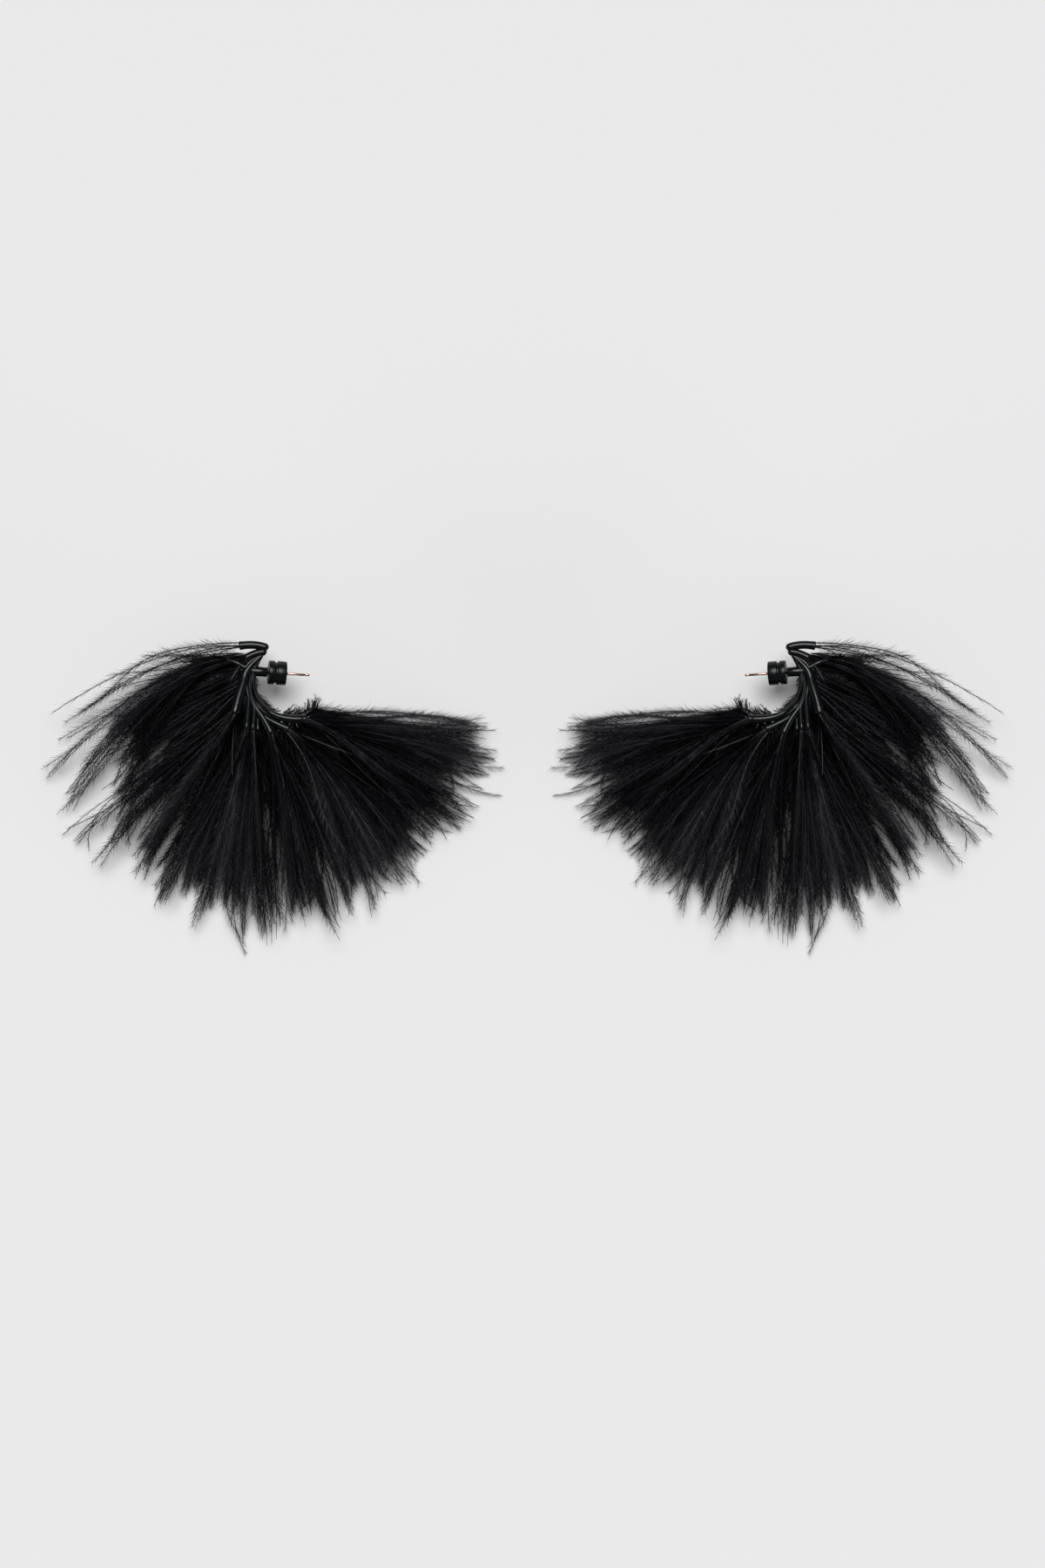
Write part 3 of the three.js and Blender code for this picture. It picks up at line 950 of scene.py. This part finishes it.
@dataclass
class Fringe:
    """The fan of feather bunches round one hoop."""

    hoop: Hoop
    reach: float = 62.0  # from the hoop's centre to the rim
    stations: int = 17  # points along a barb
    pull: float = 0.34  # how far the curve's pulls reach, of a barb's length
    stray: float = 0.09  # share of the barbs that stray from their clump
    stray_more: float = 3.0  # and how much further they go
    wave: float = 1.1  # the slow sideways wave at a barb's tip
    seed: int = 711

    def paths(self, cup: Cup, before: FanLine, after: FanLine, bunch: Bunch,
              rng: np.random.Generator) -> Barbs:
        """The centre lines of one bunch.

        Each barb is a cubic curve from the cup's bore to the rim. Barbs are drawn in clumps
        that share a place between the two lines, a length and a height, and each then strays a
        little; a slow sideways wave grows along it.

        Args:
            cup: the cup that holds the bunch.
            before: the line on its clockwise side.
            after: the line on the other side.
            bunch: how it is made up.
            rng: the source of the strays.

        Returns:
            The barbs, ready to be built.
        """
        n = bunch.barbs
        clump = rng.permutation(np.arange(n) % bunch.clumps)
        stray = 1.0 + self.stray_more * (rng.uniform(0, 1, n) < self.stray)
        share = (np.arange(bunch.clumps) + rng.uniform(0.15, 0.85, bunch.clumps)) / bunch.clumps
        share = np.clip(share[clump] + rng.normal(0, bunch.spread, n) * stray, 0.01, 0.99)
        reach = rng.uniform(bunch.shortest, bunch.longest, bunch.clumps)
        reach = np.clip(reach[clump] + rng.normal(0, 0.025, n), 0.4, 1.12)
        depth = np.clip(rng.uniform(0, 1, bunch.clumps)[clump] + rng.normal(0, 0.12, n), 0, 1)

        def between(a: float, b: float) -> Array:
            """Values from one line to the other by each barb's share."""
            return a + (b - a) * share

        mouth = self.hoop.mouth(cup)
        along = self.hoop.line(cup, 3)[1][-1]
        bore = (cup.mouth_r - self.hoop.cup_wall) * 0.75
        offset = rng.uniform(-1, 1, (n, 2)) * bore
        start = (mouth - along * 0.9 + offset[:, :1] * np.cross(UP, along)
                 + offset[:, 1:] * 0.7 * UP)
        rim = polar(between(before.rim[0], after.rim[0]),
                    self.reach * between(before.rim[1], after.rim[1]) * reach)
        pull = np.linalg.norm(rim[:, :2] - start[:, :2], axis=1)[:, None] * self.pull
        leave = unit(heading(between(before.leave, after.leave) + rng.normal(0, 5, n))
                     + 0.4 * along)
        arrive = heading(between(before.arrive, after.arrive) + rng.normal(0, 7, n) * stray)
        layer = LAYERS[cup.row]
        middle_z = layer.middle_z[0] + (layer.middle_z[1] - layer.middle_z[0]) * depth
        p1 = start + leave * pull
        p1[:, 2] = (start[:, 2] + middle_z) / 2 + layer.arch
        p2 = rim - arrive * pull
        p2[:, 2] = middle_z
        rim[:, 2] = layer.tip_z[0] + (layer.tip_z[1] - layer.tip_z[0]) * depth
        t = np.linspace(0, 1, self.stations)
        points = bezier(start, p1, p2, rim, t)
        side = unit(np.cross(UP, np.gradient(points, axis=1)))
        wave = rng.normal(0, self.wave, n)[:, None] * t**1.6 * np.sin(
            2 * np.pi * rng.uniform(0.5, 1.3, n)[:, None] * t + rng.uniform(0, 6.3, n)[:, None])
        points = points + side * wave[..., None]
        points[..., 2] = np.maximum(points[..., 2], 0.35)
        roll = rng.normal(0, 0.5, n)[:, None] + rng.normal(0, 0.9, n)[:, None] * t
        # each clump's own random tone, plus the bunch's shade, which is painted light
        tone = np.clip(bunch.shade + rng.beta(0.5, 2.6, bunch.clumps)[clump]
                       - 0.06 + rng.normal(0, 0.16, n), 0, 1)
        return Barbs(points, roll, tone)

    def down(self, cup: Cup, bunch: Bunch, rng: np.random.Generator) -> Barbs:
        """Short barbs that splay widely from a cup and fill in round the metal.

        Each runs from the bore along the cup's own heading, then bends off to one side.
        """
        n = bunch.down
        mouth = self.hoop.mouth(cup)
        along = self.hoop.line(cup, 3)[1][-1]
        facing = math.degrees(math.atan2(along[1], along[0]))
        start = mouth - along * 0.8 + rng.uniform(-0.4, 0.4, (n, 3)) * cup.mouth_r
        turn = facing + bunch.lean + bunch.splay * rng.uniform(-1, 1, n)
        length = rng.uniform(0.45, 1.0, n)[:, None] * bunch.down_length
        p1 = start + along * length * 0.3
        p2 = start + (along + heading(turn)) * length * 0.42
        end = start + (0.35 * along + heading(turn)) * length * 0.85
        p2[:, 2] += rng.uniform(-1.5, 1.8, n)
        end[:, 2] += rng.uniform(-5.0, 2.0, n)
        points = bezier(start, p1, p2, end, np.linspace(0, 1, 12))
        roll = rng.normal(0, 0.6, n)[:, None] + np.zeros(12)
        return Barbs(points, roll, np.clip(rng.normal(0.05, 0.1, n), 0, 1), bare=0.1)

    def tuft(self, tuft: Tuft, rng: np.random.Generator) -> Barbs:
        """The barbs of one tuft, each bent a little further round toward its tip."""
        n = tuft.barbs
        arc, radius, turn, length, z = (rng.uniform(*span, n) for span in (
            tuft.arc, tuft.radius, tuft.turn, tuft.length, tuft.z))
        start = polar(arc, radius, z)
        out, off = heading(arc + turn * 0.8), heading(arc + turn)
        reach = length[:, None]
        p1 = start + out * reach * 0.33
        p2 = start + out * reach * 0.6
        end = p2 + off * reach * 0.4
        end[:, 2] = np.maximum(end[:, 2] - rng.uniform(0, 0.16, n) * length, 1.0)
        points = bezier(start, p1, p2, end, np.linspace(0, 1, 10))
        roll = rng.normal(0, 0.5, n)[:, None] + np.zeros(10)
        size = min(2.8, 0.42 * float(length.mean()))
        return Barbs(points, roll, np.clip(rng.normal(0.05, 0.1, n), 0, 1), barbule=size,
                     bare=0.0)

    def build(self, seat: Seat, finishes: Finishes) -> None:
        """Make every bunch of one earring."""
        rng = np.random.default_rng(self.seed)
        recipe = {bunch.cup: bunch for bunch in BUNCHES}
        for row, lines in ((Row.FRONT, FRONT_LINES), (Row.BACK, BACK_LINES)):
            cups = [cup for cup in CUPS if cup.row is row]
            for cup, before, after in zip(cups, lines, lines[1:]):
                barbs = self.paths(cup, before, after, recipe[cup.name], rng)
                down = self.down(cup, recipe[cup.name], rng)
                tufts = [self.tuft(t, rng).build(rng) for t in TUFTS if t.cup == cup.name]
                shape = Shape.join([barbs.build(rng), down.build(rng), *tufts])
                seat.make(f"plume_{cup.name}", shape, finishes.plume, False,
                          "earrings", (f"{seat.prefix}_bunch_{cup.name}",))


# ------------------------------------------------------------------ the pair and its surroundings

@dataclass
class Studio:
    """Camera straight above, a pale table, and soft lights; lengths in metres."""

    lens_mm: float = 100.0
    distance: float = 1.1111  # from the camera to the plane that it frames
    plane_z: float = 0.008
    offset: tuple[float, float] = (-0.00122, 0.00078)
    floor_half: float = 30.0
    key_strength: float = 2.93
    key_spread: float = 37.0  # degrees across, wide enough for soft shadows
    key_tilt: float = -23.0  # degrees from straight above, toward the back
    lamp_place: tuple[float, float, float] = (2.5, -1.85, 0.5)
    lamp_size: tuple[float, float] = (2.2, 0.3)
    lamp_watts: float = 13.0
    air_colour: str = "#f4f4f6"
    air_strength: float = 0.12

    def camera(self) -> None:
        """A camera looking straight down."""
        data = bpy.data.cameras.new("camera")
        data.lens = self.lens_mm
        data.clip_start, data.clip_end = 0.01, 20.0
        camera = bpy.data.objects.new("camera", data)
        camera.location = (*self.offset, self.distance + self.plane_z)
        bpy.context.scene.collection.objects.link(camera)
        bpy.context.scene.camera = camera

    def floor(self) -> None:
        """The table's top, one square."""
        h = self.floor_half
        mesh = bpy.data.meshes.new("table")
        mesh.from_pydata([(-h, -h, 0), (h, -h, 0), (h, h, 0), (-h, h, 0)], [], [(0, 1, 2, 3)])
        mesh.materials.append(Tabletop().build())
        table = bpy.data.objects.new("table", mesh)
        bpy.context.scene.collection.objects.link(table)

    def key(self) -> None:
        """The main light: a broad, even source high up and a little to the back."""
        data = bpy.data.lights.new("key", "SUN")
        data.energy, data.angle = self.key_strength, math.radians(self.key_spread)
        key = bpy.data.objects.new("key", data)
        key.rotation_euler = (math.radians(self.key_tilt), 0.0, 0.0)
        bpy.context.scene.collection.objects.link(key)

    def lamp(self, side: Side) -> None:
        """A wide, low strip of soft light at one side, aimed at the middle of the pair."""
        name = f"low_{side.value}"
        data = bpy.data.lights.new(name, "AREA")
        data.shape, data.energy = "RECTANGLE", self.lamp_watts
        data.size, data.size_y = self.lamp_size
        lamp = bpy.data.objects.new(name, data)
        x, y, z = self.lamp_place
        lamp.location = (-x if side is Side.LEFT else x, y, z)
        lamp.rotation_mode = "QUATERNION"
        lamp.rotation_quaternion = (-lamp.location).to_track_quat("-Z", "Y")
        bpy.context.scene.collection.objects.link(lamp)

    def air(self) -> None:
        """Even light from all round, and colours shown as they are."""
        world = bpy.data.worlds.new("studio")
        world.use_nodes = True
        shade = world.node_tree.nodes["Background"]
        shade.inputs["Color"].default_value = linear(self.air_colour)
        shade.inputs["Strength"].default_value = self.air_strength
        bpy.context.scene.world = world
        bpy.context.scene.view_settings.view_transform = "Standard"

    def build(self) -> None:
        """Everything round the pair."""
        self.camera()
        self.floor()
        self.key()
        for side in Side:
            self.lamp(side)
        self.air()


def seats() -> list[Seat]:
    """Where both earrings sit, read off the left hoop's spine in the CAD model.

    The spine's least x is at the outside of the hoop, and its greatest y at the outer corner of
    its upper end.
    """
    hoop = Hoop()
    low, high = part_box("left_hoop_spine")
    end_r = hoop.inner_r + hoop.spine_width / 2 * (1 + hoop.spine_end)
    x = low[0] / MM + hoop.outer_r
    y = high[1] / MM - end_r * math.sin(math.radians(hoop.spine_from))
    return [Seat(Side.LEFT, x, y), Seat(Side.RIGHT, x, y)]


def main() -> None:
    """Build the pair, the table, the lights and the camera."""
    logging.basicConfig(level=logging.INFO, format="%(message)s")
    finishes = Finishes()
    hoop, post = Hoop(), EarPost()
    for seat in seats():
        hoop.build(seat, finishes)
        post.build(seat, hoop, finishes)
        Fringe(hoop).build(seat, finishes)
    Studio().build()


if __name__ == "__main__":
    main()
